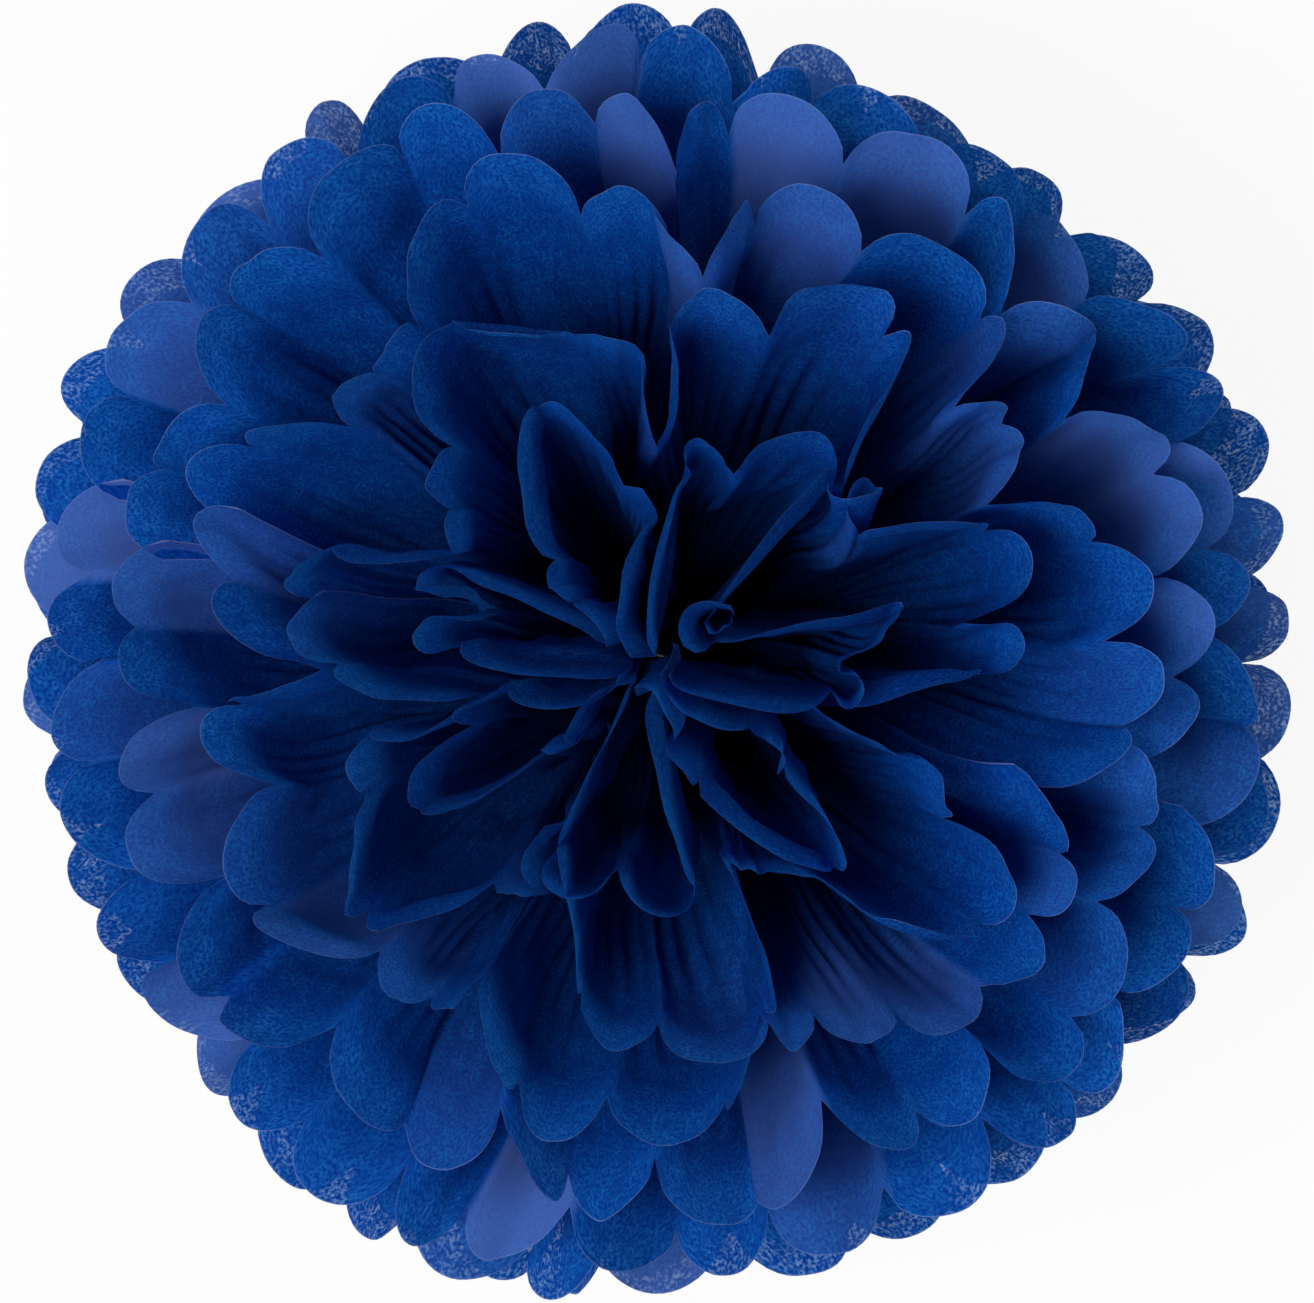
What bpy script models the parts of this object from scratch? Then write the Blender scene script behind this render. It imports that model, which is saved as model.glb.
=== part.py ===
"""Tissue paper pom pom.

Twelve sheets of tissue paper lie on each other and are folded together into one stack of narrow pleats. The stack's
two ends are cut round, a wire is twisted round its middle, and the sheets are pulled apart, six up and six down,
until their scalloped fans close into a ball. The ball lies on its lowest petals, which its weight has bent a little.
"""

import math
import random

import bmesh
import bpy
from mathutils import Vector, noise

# The flat sheet, in metres: its length runs across the pleats and its width from one cut end to the other.
SHEET_LENGTH = 0.500
SHEET_WIDTH = 0.250
SHEETS = 12
PLEATS = 18
PAPER_THICKNESS = 0.0001
SCALLOP_DEPTH = 0.011
SCALLOP_CUTS = 3

# The gathered middle, held by the wire.
NECK_WIDTH = 0.010
NECK_TAPER = 0.0003
NECK_CLEARANCE = 0.0003

# The wire tie, one length of wire whose two ends are twisted together.
WIRE_DIAMETER = 0.0009
WIRE_CLEARANCE = 0.0003
WIRE_SIDE_CLEARANCE = 0.0007
TWIST_LENGTH = 0.009
TWIST_TURNS = 3
TWIST_GAP = 0.0002
CORNER_STEPS = 4
POINTS_PER_TURN = 8

# How the sheets are fluffed: tilts from the ball's upright axis and turns round it, in degrees.
TOP_SHEET_TILT = 12.5
CLOSEST_TILT = 1.2
HALVES_GAP = 0.8
SHEET_TURN = 3.2
SHEET_TURN_UNEVENNESS = 0.8

# The zigzag of the pleats, in degrees, and the place on a fold line, as a share of its length, where it bends.
DEEPEST_FOLD = 12.0
STEEPEST_WALL = 3.4
FOLD_UNEVENNESS = 0.28
FOLD_SWAY = 1.5
FOLD_SWAY_OF_SHEET = 0.7
FOLD_LEAN = 3.0
FOLD_STATION = 0.50

# The wide folds of the sheets near the poles: their depth and reach in degrees, and how many pleats make one wave.
WIDE_FOLD = 11.5
WIDE_FOLD_REACH = 62.0
WIDE_FOLD_UNEVENNESS = 0.4
WIDE_FOLD_PLEATS = 5.2
WIDE_FOLD_SHIFT = 0.2
LOBE_SPREAD = 3.0

# The soft sway of the whole ball, and the petals that it lies on, which its weight bends.
SWAY = 0.007
SWAY_WAVE = 0.070
SWAY_SEED = 2
PRESSED_HEIGHT = 0.025
PRESS_SOFTNESS = 0.022
FLATTENED_BY = 0.0115

PAPER_COLOUR = (0.012, 0.060, 0.270, 1.0)
WIRE_COLOUR = (0.30, 0.33, 0.30, 1.0)

TINY = 1e-6

REACH = SHEET_WIDTH / 2
PLEAT_WIDTH = SHEET_LENGTH / PLEATS
NECK_PITCH = PAPER_THICKNESS + NECK_CLEARANCE
STACK_HALF = NECK_PITCH * (SHEETS - 1) / 2 + PAPER_THICKNESS / 2
NECK_EXIT = WIRE_DIAMETER / 2 + WIRE_SIDE_CLEARANCE
SHEET_STEP = (180.0 - 2 * TOP_SHEET_TILT) / (SHEETS - 1)


def clear_scene():
    """Remove whatever the open file holds."""
    for obj in list(bpy.data.objects):
        bpy.data.objects.remove(obj, do_unlink=True)


def make_material(name, colour, roughness, metallic=0.0):
    """A plain Principled material."""
    material = bpy.data.materials.new(name)
    material.use_nodes = True
    shader = material.node_tree.nodes["Principled BSDF"]
    shader.inputs["Base Color"].default_value = colour
    shader.inputs["Roughness"].default_value = roughness
    shader.inputs["Metallic"].default_value = metallic
    return material


def smooth_ramp(value):
    """0 below 0, 1 above 1 and an S-shaped rise between."""
    value = min(1.0, max(0.0, value))
    return value * value * (3 - 2 * value)


def uneven(*place):
    """A fixed number between -1 and 1 that belongs to one place on the ball."""
    return random.Random(repr(place)).uniform(-1.0, 1.0)


def own_tilt(sheet):
    """How far a sheet leans from the upright axis as a whole, in degrees."""
    return TOP_SHEET_TILT + SHEET_STEP * sheet


def gather_of(sheet):
    """How deep a sheet's wide folds are, in degrees: full at the poles and none near the middle."""
    from_pole = min(own_tilt(sheet), 180.0 - own_tilt(sheet))
    return WIDE_FOLD * (1 - smooth_ramp((from_pole - TOP_SHEET_TILT) / WIDE_FOLD_REACH))


def gather_turn(fold, side):
    """How far a fold lies along the wave of wide folds near the poles, in radians."""
    return 2 * math.pi * (fold + WIDE_FOLD_SHIFT * side) / WIDE_FOLD_PLEATS


def azimuth_of(sheet, side, fold, share):
    """Where a fold line points, seen from above, in radians; share is 0 at the tie and 1 at the rim.

    Neighbouring sheets are turned against each other, so that one's petals stand behind the other's gaps, and the
    fold lines of the wide folds lean apart where they are furthest from the pole.
    """
    across = fold / PLEATS
    opened = smooth_ramp(share)
    sway = FOLD_SWAY * uneven("azimuth", side, fold)
    sway += FOLD_SWAY_OF_SHEET * uneven("azimuth", side, fold, sheet) * opened
    sway -= LOBE_SPREAD * gather_of(sheet) / WIDE_FOLD * math.sin(gather_turn(fold, side))
    angle = (180.0 - 2 * HALVES_GAP) * (across - 0.5) + sway * math.sin(math.pi * across)
    if side < 0:
        angle = 180.0 - angle
    from_middle = abs(sheet - (SHEETS - 1) / 2)
    turn = SHEET_TURN * (1 if int(from_middle) % 2 == 0 else -1)
    turn += SHEET_TURN_UNEVENNESS * uneven("turn", sheet)
    return math.radians(angle + turn * opened)


def wide_fold(fold, side):
    """The height of the wide folds at a fold line: 1 for one pulled all the way up and -1 for all the way down."""
    height = 1 - WIDE_FOLD_UNEVENNESS * (1 + uneven("gather", side, fold)) / 2
    return math.cos(gather_turn(fold, side)) * height


def tilt_of(sheet, side, fold, radius):
    """How far a fold line leans from the upright axis, in radians, at a distance from the tie."""
    own = own_tilt(sheet)
    gather = gather_of(sheet)
    pitch = radius * math.sin(math.radians(own)) * math.pi / PLEATS
    rise = math.sqrt(max(PLEAT_WIDTH**2 - pitch**2, 0.0))
    steepest = STEEPEST_WALL * pitch
    single = math.degrees(min(rise, steepest) / radius) - gather
    single = max(0.0, min(single / 2, DEEPEST_FOLD - gather))
    single *= 1 - FOLD_UNEVENNESS * (1 + uneven("pleat", side, fold, sheet)) / 2
    zigzag = 1 if fold % 2 == 0 else -1
    lean = own - single * zigzag - gather * wide_fold(fold, side)
    lean += FOLD_LEAN * math.sin(math.radians(own)) * uneven("lean", side, fold)
    return math.radians(min(max(lean, CLOSEST_TILT), 180.0 - CLOSEST_TILT))


def swayed(point):
    """The soft, slow sway that keeps neighbouring sheets apart, growing from the tie to the rim."""
    grown = min(1.0, point.length / REACH) ** 2
    return point + SWAY * grown * noise.noise_vector(point / SWAY_WAVE)


def pressed(point):
    """The weight of the ball bends the petals that it lies on."""
    start = REACH - PRESSED_HEIGHT
    depth = -point.z - start
    if depth <= 0:
        return point
    kept = start + PRESS_SOFTNESS * (1 - math.exp(-depth / PRESS_SOFTNESS))
    return Vector((point.x, point.y, -min(kept, REACH - FLATTENED_BY)))


def neck_point(sheet, side, fold):
    """Where a fold line leaves the gathered middle: the paper fans out from a half circle on each side of the tie."""
    angle = math.pi * (fold / PLEATS - 0.5)
    from_middle = abs((SHEETS - 1) / 2 - sheet)
    half = NECK_WIDTH / 2 - NECK_TAPER * from_middle
    return Vector((
        side * (NECK_EXIT + half * math.cos(angle)),
        half * math.sin(angle),
        NECK_PITCH * ((SHEETS - 1) / 2 - sheet),
    ))


def fold_point(sheet, side, fold, share):
    """The place of a point on a fold line: straight from the neck to the fold station, then straight to the rim."""
    neck = neck_point(sheet, side, fold)
    if share <= 0:
        return neck

    def aimed(at):
        azimuth = azimuth_of(sheet, side, fold, at)
        tilt = tilt_of(sheet, side, fold, at * REACH)
        flat = math.sin(tilt)
        aim = Vector((flat * math.cos(azimuth), flat * math.sin(azimuth), math.cos(tilt)))
        return neck * (1 - at) + aim * REACH * at

    if share <= FOLD_STATION:
        return neck.lerp(aimed(FOLD_STATION), share / FOLD_STATION)
    return aimed(FOLD_STATION).lerp(aimed(1.0), (share - FOLD_STATION) / (1 - FOLD_STATION))


def scallop_share(part):
    """How far the round end of a pleat reaches, as a share of the whole; part runs from 0 to 1 across the pleat."""
    radius = (PLEAT_WIDTH**2 / 4 + SCALLOP_DEPTH**2) / (2 * SCALLOP_DEPTH)
    offset = (part - 0.5) * PLEAT_WIDTH
    below_tip = radius - math.sqrt(radius**2 - offset**2)
    return 1 - below_tip / REACH


def pleat_at(across):
    """The number of the pleat that a point lies in, across counted in pleats from the sheet's edge."""
    return min(int(across + TINY), PLEATS - 1)


def gathered(sheet, side, across, share):
    """The place of any point of the folded paper."""
    fold = pleat_at(across)
    part = across - fold
    first = fold_point(sheet, side, fold, share)
    second = fold_point(sheet, side, fold + 1, share)
    return pressed(swayed(first.lerp(second, part)))


def sheet_mesh(sheet):
    """A flat grid of paper, its ends cut in scallops, folded and gathered."""
    stations = (-1.0, -FOLD_STATION, -0.0, 0.0, FOLD_STATION, 1.0)
    bm = bmesh.new()
    bmesh.ops.create_grid(bm, x_segments=len(stations) - 1, y_segments=PLEATS, size=0.5)
    rim = [e for e in bm.edges if all(abs(v.co.x) > 0.5 - TINY for v in e.verts)]
    bmesh.ops.subdivide_edges(bm, edges=rim, cuts=SCALLOP_CUTS)
    bmesh.ops.triangulate(bm, faces=bm.faces[:])
    for vert in bm.verts:
        column = round((vert.co.x + 0.5) * (len(stations) - 1))
        side = -1 if column < len(stations) / 2 else 1
        across = (vert.co.y + 0.5) * PLEATS
        share = abs(stations[column])
        if share == 1.0:
            share = scallop_share(across - pleat_at(across))
        vert.co = gathered(sheet, side, across, share)
    mesh = bpy.data.meshes.new(f"sheet_{sheet + 1:02d}")
    bm.to_mesh(mesh)
    bm.free()
    return mesh


def add_sheet(sheet, collection, frame, paper):
    """One sheet of tissue as its own solid."""
    mesh = sheet_mesh(sheet)
    mesh.materials.append(paper)
    obj = bpy.data.objects.new(mesh.name, mesh)
    collection.objects.link(obj)
    obj.parent = frame
    wall = obj.modifiers.new("Paper", "SOLIDIFY")
    wall.thickness = PAPER_THICKNESS
    wall.offset = 0.0
    wall.use_even_offset = True
    wall.use_quality_normals = True
    return obj


def tie_route():
    """The wire's centre line: in along one strand of the twist, round the stack and out along the other."""
    wire_radius = WIRE_DIAMETER / 2
    strand = wire_radius + TWIST_GAP / 2
    rounding = min(NECK_TAPER * (SHEETS - 1) / 2, STACK_HALF - strand)
    bend = rounding + WIRE_CLEARANCE + wire_radius
    twist_points = TWIST_TURNS * POINTS_PER_TURN
    twist_start = rounding - NECK_WIDTH / 2 - bend - WIRE_DIAMETER
    strands = []
    for turn in (0.0, math.pi):
        points = []
        for step in range(twist_points + 1):
            along = step / twist_points
            angle = turn + math.pi / 2 - 2 * math.pi * TWIST_TURNS * along
            points.append(Vector((
                strand * math.cos(angle),
                twist_start - TWIST_LENGTH * along,
                strand * math.sin(angle),
            )))
        strands.append(points)
    loop = []
    for quarter, (y_sign, z_sign) in enumerate(((-1, 1), (1, 1), (1, -1), (-1, -1))):
        for step in range(CORNER_STEPS + 1):
            angle = math.pi - math.pi / 2 * (quarter + step / CORNER_STEPS)
            loop.append(Vector((
                0.0,
                y_sign * (NECK_WIDTH / 2 - rounding) + bend * math.cos(angle),
                z_sign * (STACK_HALF - rounding) + bend * math.sin(angle),
            )))
    return strands[0][::-1] + loop + strands[1]


def add_tie(collection, frame, wire):
    """The twisted wire tie as one closed tube."""
    curve = bpy.data.curves.new("wire_tie", "CURVE")
    curve.dimensions = "3D"
    curve.bevel_depth = WIRE_DIAMETER / 2
    curve.bevel_resolution = 1
    curve.use_fill_caps = True
    route = tie_route()
    spline = curve.splines.new("POLY")
    spline.points.add(len(route) - 1)
    for point, place in zip(spline.points, route):
        point.co = (*place, 1.0)
    curve.materials.append(wire)
    obj = bpy.data.objects.new("wire_tie", curve)
    collection.objects.link(obj)
    obj.parent = frame
    return obj


def stand_on_origin(frame, sheets):
    """Set the ball down, so that the origin is under its middle at the level that it lies on."""
    bpy.context.view_layer.update()
    graph = bpy.context.evaluated_depsgraph_get()
    corners = [Vector(c) for obj in sheets for c in obj.evaluated_get(graph).bound_box]
    low = Vector((min(c.x for c in corners), min(c.y for c in corners), min(c.z for c in corners)))
    high = Vector((max(c.x for c in corners), max(c.y for c in corners), max(c.z for c in corners)))
    frame.location = (-(low.x + high.x) / 2, -(low.y + high.y) / 2, -low.z)
    bpy.context.view_layer.update()


def build():
    """The whole pom pom, in a collection of its own."""
    clear_scene()
    noise.seed_set(SWAY_SEED)
    collection = bpy.data.collections.new("tissue_pom_pom")
    bpy.context.scene.collection.children.link(collection)
    frame = bpy.data.objects.new("ball_frame", None)
    collection.objects.link(frame)
    paper = make_material("tissue_paper", PAPER_COLOUR, 0.8)
    wire = make_material("florist_wire", WIRE_COLOUR, 0.45, 0.6)
    sheets = [add_sheet(number, collection, frame, paper) for number in range(SHEETS)]
    add_tie(collection, frame, wire)
    stand_on_origin(frame, sheets)


build()
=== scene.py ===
"""Looks of the tissue paper pom pom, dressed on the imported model.

Each of the twelve sheets is made again as one fine surface of paper near the fold lines of its solid,
with soft and sharp folds, bowed petals, fine wrinkles where the wire gathers it and an uneven cut edge.
The finishes are thin dyed tissue that lets light through, and soft wire.
"""

import logging
import math
import random
from dataclasses import dataclass, field
from enum import Enum

import bmesh
import bpy
import numpy as np
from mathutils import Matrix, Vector, noise


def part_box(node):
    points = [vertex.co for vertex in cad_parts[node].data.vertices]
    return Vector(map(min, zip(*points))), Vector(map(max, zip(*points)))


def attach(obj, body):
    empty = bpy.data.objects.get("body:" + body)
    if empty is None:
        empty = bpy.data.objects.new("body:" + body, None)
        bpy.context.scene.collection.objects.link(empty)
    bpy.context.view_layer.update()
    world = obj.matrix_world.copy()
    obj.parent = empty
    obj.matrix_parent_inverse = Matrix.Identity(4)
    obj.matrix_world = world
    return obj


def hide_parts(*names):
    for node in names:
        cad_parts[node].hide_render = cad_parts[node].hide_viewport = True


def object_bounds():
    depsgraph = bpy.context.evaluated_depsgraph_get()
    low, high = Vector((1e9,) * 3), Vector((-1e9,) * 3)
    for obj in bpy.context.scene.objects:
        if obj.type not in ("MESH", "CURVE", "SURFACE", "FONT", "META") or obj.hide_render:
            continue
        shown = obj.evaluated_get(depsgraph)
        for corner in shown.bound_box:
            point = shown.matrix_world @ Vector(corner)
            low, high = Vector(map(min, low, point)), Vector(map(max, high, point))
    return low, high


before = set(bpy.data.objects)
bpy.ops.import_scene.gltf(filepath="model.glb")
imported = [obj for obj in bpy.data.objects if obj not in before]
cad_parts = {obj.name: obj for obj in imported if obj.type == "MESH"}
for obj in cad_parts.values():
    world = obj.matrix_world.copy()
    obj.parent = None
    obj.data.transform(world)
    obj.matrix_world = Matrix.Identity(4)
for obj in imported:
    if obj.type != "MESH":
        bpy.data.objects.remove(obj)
CAD_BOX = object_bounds()

LOG = logging.getLogger("tissue_pom_pom")
Colour = tuple[float, float, float]


class Side(Enum):
    """The two halves of a sheet, either side of the wire."""

    LEFT = -1
    RIGHT = 1


def smooth_ramp(value: np.ndarray | float) -> np.ndarray | float:
    """0 below 0, 1 above 1 and an S-shaped rise between."""
    kept = np.clip(value, 0.0, 1.0)
    return kept * kept * (3 - 2 * kept)


def uneven(*place: object) -> float:
    """A fixed number between -1 and 1 that belongs to one place on the ball."""
    return random.Random(repr(place)).uniform(-1.0, 1.0)


def soft_noise(x: np.ndarray, y: np.ndarray, seed: int) -> np.ndarray:
    """Smooth noise between -1 and 1.

    Args:
        x: First coordinate, one wave to a unit.
        y: Second coordinate.
        seed: Which of the many fields of noise to read.

    Returns:
        The noise at every point.
    """
    size = 64
    lattice = np.random.default_rng(seed).uniform(-1.0, 1.0, (size, size))
    column = np.floor(x).astype(int)
    row = np.floor(y).astype(int)
    across = x - column
    along = y - row
    across = across**3 * (across * (across * 6 - 15) + 10)
    along = along**3 * (along * (along * 6 - 15) + 10)
    here = lattice[row % size, column % size]
    right = lattice[row % size, (column + 1) % size]
    above = lattice[(row + 1) % size, column % size]
    corner = lattice[(row + 1) % size, (column + 1) % size]
    low = here + (right - here) * across
    high = above + (corner - above) * across
    return low + (high - low) * along


@dataclass(frozen=True)
class Pleating:
    """How the stack is folded, tied and pulled open, in metres and degrees from the ball's upright axis."""

    length: float = 0.500
    width: float = 0.250
    sheets: int = 12
    pleats: int = 18
    paper: float = 0.0001
    scallop_depth: float = 0.011
    neck_width: float = 0.010
    neck_taper: float = 0.0003
    neck_clearance: float = 0.0003
    wire: float = 0.0009
    wire_clearance: float = 0.0003
    wire_side_clearance: float = 0.0007
    top_tilt: float = 12.5
    closest_tilt: float = 1.2
    halves_gap: float = 0.8
    halves_lap: float = 2.2
    deepest_fold: float = 12.0
    steepest_wall: float = 3.4
    widest_fold: float = 11.5
    wide_fold_reach: float = 62.0
    station: float = 0.50
    fold_sway: float = 1.5
    fold_sway_of_sheet: float = 0.7
    fold_lean: float = 3.0
    fold_unevenness: float = 0.28
    wide_fold_unevenness: float = 0.4
    wide_fold_pleats: float = 5.2
    wide_fold_shift: float = 0.2
    sheet_turn: float = 3.2
    sheet_turn_unevenness: float = 0.8
    lobe_spread: float = 7.5
    sway: float = 0.007
    sway_wave: float = 0.070
    sway_seed: int = 2
    crumple: float = 0.0045
    crumple_wave: float = 0.034
    bowl: float = 6.5
    bowl_start: float = 20.0
    seam_lap: float = 0.0028
    seam_lap_grown: float = 0.15
    seam_lap_fades: tuple[float, float] = (0.5, 0.9)
    pole_zigzag: float = 4.0
    pressed_height: float = 0.025
    press_softness: float = 0.022
    flattened_by: float = 0.0115

    @property
    def reach(self) -> float:
        """From the tie to the tip of a petal."""
        return self.width / 2

    @property
    def pleat_width(self) -> float:
        """The width of one pleat of flat paper."""
        return self.length / self.pleats

    def middle(self) -> Vector:
        """The middle of the tie in the row frame, read from the wire's solid.

        Returns:
            The point.
        """
        low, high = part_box("wire_tie")
        loop = self.neck_width / 2 + self.wire_clearance + self.wire
        return Vector(((low.x + high.x) / 2, high.y - loop, (low.z + high.z) / 2))

    def azimuth(self, sheet: int, side: Side, fold: int, share: float) -> float:
        """Where a fold line points, seen from above, in radians.

        Args:
            sheet: The sheet's number from the top, from 0.
            side: The half of the sheet.
            fold: The fold line's number, from 0.
            share: The share of the way from the tie to the rim.

        Returns:
            The angle.
        """
        across = fold / self.pleats
        opened = float(smooth_ramp(share))
        sway = self.fold_sway * uneven("azimuth", side.value, fold)
        sway += self.fold_sway_of_sheet * uneven("azimuth", side.value, fold, sheet) * opened
        lobe = self.lobe_spread * self.wide_depth(sheet) / self.widest_fold
        sway -= lobe * math.sin(self.wide_turn(fold, side))
        spread = 180.0 - 2 * self.halves_gap + 2 * self.halves_lap * max(0.0, share / self.station - 1)
        angle = spread * (across - 0.5) + sway * math.sin(math.pi * across)
        if side is Side.LEFT:
            angle = 180.0 - angle
        from_middle = abs(sheet - (self.sheets - 1) / 2)
        turn = self.sheet_turn * (1 if int(from_middle) % 2 == 0 else -1)
        turn += self.sheet_turn_unevenness * uneven("turn", sheet)
        return math.radians(angle + turn * opened)

    def own_tilt(self, sheet: int) -> float:
        """How far a sheet leans from the upright axis as a whole, in degrees."""
        return self.top_tilt + (180.0 - 2 * self.top_tilt) / (self.sheets - 1) * sheet

    def wide_depth(self, sheet: int) -> float:
        """How deep a sheet's wide folds are, in degrees: full at the poles and none near the middle.

        Args:
            sheet: The sheet's number from the top, from 0.

        Returns:
            The depth.
        """
        own = self.own_tilt(sheet)
        from_pole = min(own, 180.0 - own)
        return self.widest_fold * (1 - float(smooth_ramp((from_pole - self.top_tilt) / self.wide_fold_reach)))

    def wide_turn(self, fold: float, side: Side) -> float:
        """How far a fold lies along the wave of wide folds near the poles, in radians."""
        return 2 * math.pi * (fold + self.wide_fold_shift * side.value) / self.wide_fold_pleats

    def wide_fold(self, fold: int, side: Side) -> float:
        """The height of the wide folds at a fold line: 1 for all the way in and -1 for all the way out."""
        height = 1 - self.wide_fold_unevenness * (1 + uneven("gather", side.value, fold)) / 2
        return math.cos(self.wide_turn(fold, side)) * height

    def tilt(self, sheet: int, side: Side, fold: int, radius: float) -> float:
        """How far a fold line leans from the upright axis, in radians, at a distance from the tie.

        Args:
            sheet: The sheet's number from the top, from 0.
            side: The half of the sheet.
            fold: The fold line's number, from 0.
            radius: The distance from the tie.

        Returns:
            The angle.
        """
        own = self.own_tilt(sheet)
        wide = self.wide_depth(sheet)
        pitch = radius * math.sin(math.radians(own)) * math.pi / self.pleats
        rise = math.sqrt(max(self.pleat_width**2 - pitch**2, 0.0))
        single = math.degrees(min(rise, self.steepest_wall * pitch) / radius) - wide
        single = max(0.0, min(single / 2, self.deepest_fold - wide))
        single = max(single, self.pole_zigzag * wide / self.widest_fold)
        single *= 1 - self.fold_unevenness * (1 + uneven("pleat", side.value, fold, sheet)) / 2
        zigzag = 1 if fold % 2 == 0 else -1
        lean = own - single * zigzag - wide * self.wide_fold(fold, side)
        lean += self.fold_lean * math.sin(math.radians(own)) * uneven("lean", side.value, fold)
        return math.radians(min(max(lean, self.closest_tilt), 180.0 - self.closest_tilt))

    def neck_point(self, sheet: int, side: Side, fold: int) -> np.ndarray:
        """Where a fold line leaves the gathered middle.

        Args:
            sheet: The sheet's number from the top, from 0.
            side: The half of the sheet.
            fold: The fold line's number, from 0.

        Returns:
            The point, round the middle of the tie.
        """
        angle = math.pi * (fold / self.pleats - 0.5)
        from_middle = (self.sheets - 1) / 2 - sheet
        half = self.neck_width / 2 - self.neck_taper * abs(from_middle)
        exit_x = self.wire / 2 + self.wire_side_clearance + half * math.cos(angle)
        pitch = self.paper + self.neck_clearance
        return np.array((side.value * exit_x, half * math.sin(angle), pitch * from_middle))

    def bowed_out(self, tilt: float, at: float) -> float:
        """How much further a fold line leans on its way than at its ends, in radians, as in a bowl.

        Args:
            tilt: How far the line leans, in radians.
            at: The share of the way from the tie to the rim.

        Returns:
            The angle to add.
        """
        from_pole = math.degrees(min(tilt, math.pi - tilt))
        opened = float(smooth_ramp((from_pole - self.closest_tilt) / self.bowl_start))
        return math.radians(self.bowl * math.cos(tilt)) * 4 * at * (1 - at) * opened

    def aimed(self, sheet: int, side: Side, fold: int, at: float) -> np.ndarray:
        """The place of a point on a fold line at a share of the way from the tie to the rim.

        Args:
            sheet: The sheet's number from the top, from 0.
            side: The half of the sheet.
            fold: The fold line's number, from 0.
            at: The share of the way from the tie to the rim.

        Returns:
            The point, round the middle of the tie.
        """
        azimuth = self.azimuth(sheet, side, fold, at)
        tilt = self.tilt(sheet, side, fold, at * self.reach)
        tilt += self.bowed_out(tilt, at)
        flat = math.sin(tilt)
        aim = np.array((flat * math.cos(azimuth), flat * math.sin(azimuth), math.cos(tilt)))
        return self.neck_point(sheet, side, fold) * (1 - at) + aim * self.reach * at

    def fold_lines(self, sheet: int, side: Side, shares: np.ndarray, bend: float) -> np.ndarray:
        """Every fold line of one half of a sheet.

        Args:
            sheet: The sheet's number from the top, from 0.
            side: The half of the sheet.
            shares: Where the points lie on each line, from 0 at the tie to 1 at the rim.
            bend: 0 for a line with a corner at its station, 1 for one smooth bend.

        Returns:
            Points as an array of rows, folds and x, y, z, round the middle of the tie.
        """
        lines = np.zeros((len(shares), self.pleats + 1, 3))
        share = shares[:, None]
        early = np.minimum(share / self.station, 1.0)
        late = np.maximum((share - self.station) / (1 - self.station), 0.0)
        for fold in range(self.pleats + 1):
            neck = self.neck_point(sheet, side, fold)
            station = self.aimed(sheet, side, fold, self.station)
            rim = self.aimed(sheet, side, fold, 1.0)
            straight = neck + (station - neck) * early + (rim - station) * late
            smooth = neck * (1 - 2 * share) * (1 - share) + station * 4 * share * (1 - share)
            smooth = smooth + rim * share * (2 * share - 1)
            lines[:, fold] = straight + (smooth - straight) * bend
        return self.swayed(self.lapped(lines, side, shares))

    def lapped(self, lines: np.ndarray, side: Side, shares: np.ndarray) -> np.ndarray:
        """A half's two outermost folds, laid over the other half near the tie to leave no slit there.

        Args:
            lines: The fold lines, as rows, folds and x, y, z.
            side: The half of the sheet.
            shares: Where the points lie on each line, from 0 at the tie to 1 at the rim.

        Returns:
            The fold lines with the outermost ones moved.
        """
        start, end = self.seam_lap_fades
        faded = smooth_ramp((shares - start) / (end - start))
        grown = smooth_ramp(shares / self.seam_lap_grown) * (1 - faded)
        moved = lines.copy()
        for fold in (0, self.pleats):
            moved[:, fold, 0] -= side.value * self.seam_lap * grown
        return moved

    def swayed(self, points: np.ndarray) -> np.ndarray:
        """The soft, slow sway of the whole ball, growing from the tie to the rim.

        Args:
            points: Points round the middle of the tie.

        Returns:
            The points, moved.
        """
        moved = points.reshape(-1, 3).copy()
        for place in moved:
            point = Vector(place)
            grown = min(1.0, point.length / self.reach) ** 2
            place += np.array(noise.noise_vector(point / self.sway_wave)) * (self.sway * grown)
            place += np.array(noise.noise_vector(point / self.crumple_wave)) * (self.crumple * grown)
        return moved.reshape(points.shape)

    def pressed(self, points: np.ndarray) -> np.ndarray:
        """The weight of the ball bends the petals that it lies on.

        Args:
            points: Points round the middle of the tie.

        Returns:
            The points, kept above the table.
        """
        start = self.reach - self.pressed_height
        depth = np.maximum(-points[..., 2] - start, 0.0)
        kept = start + self.press_softness * (1 - np.exp(-depth / self.press_softness))
        kept = np.minimum(kept, self.reach - self.flattened_by)
        laid = points.copy()
        laid[..., 2] = np.where(depth > 0, -kept, points[..., 2])
        return laid


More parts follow.
